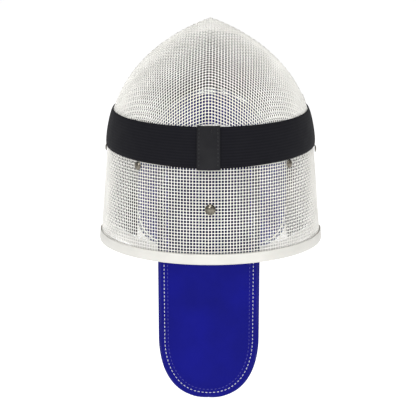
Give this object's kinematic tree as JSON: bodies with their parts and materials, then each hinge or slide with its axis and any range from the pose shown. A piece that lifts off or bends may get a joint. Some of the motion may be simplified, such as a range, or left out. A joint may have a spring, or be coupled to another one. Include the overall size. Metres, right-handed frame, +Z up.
{
  "type": "fencing mask",
  "caption": "Fencing mask of woven wire mesh with a keeled crown and face, a rear wall, a black elastic back strap, a bound rim and a blue padded tongue at the nape.",
  "frame": {"origin": "where the top of the wearer's head seats, under the roof and straight below the apex", "axes": "+Z up through the apex, the wearer faces -Y, +X to the wearer's left"},
  "size_m": [0.2308, 0.2492, 0.37],
  "materials": {
    "wire": "satin woven wire, pale galvanised look",
    "binding": "smooth off-white vinyl",
    "blue_vinyl": "smooth royal blue leatherette, padded",
    "navy_cloth": "matt dark navy cloth over thin foam",
    "piping": "pale corded piping",
    "elastic": "black ribbed elastic webbing",
    "black_leather": "smooth black leather",
    "nickel": "polished nickel"
  },
  "bodies": {
    "root": {"crown_mesh": "wire", "crown_band_mesh": "wire", "brow_band_mesh": "wire", "face_mesh": "wire", "rear_wall_mesh": "wire", "rim_binding": "binding", "joint_strip_left": "binding", "joint_strip_right": "binding", "back_strap": "elastic", "strap_keeper": "black_leather", "tongue": "blue_vinyl", "face_lining": "blue_vinyl", "lining_piping": "piping", "crown_pad": "navy_cloth", "tongue_rivet": "nickel", "rear_rivet_left": "nickel", "rear_rivet_right": "nickel", "side_rivet_left": "nickel", "side_rivet_right": "nickel"}
  },
  "joints": []
}
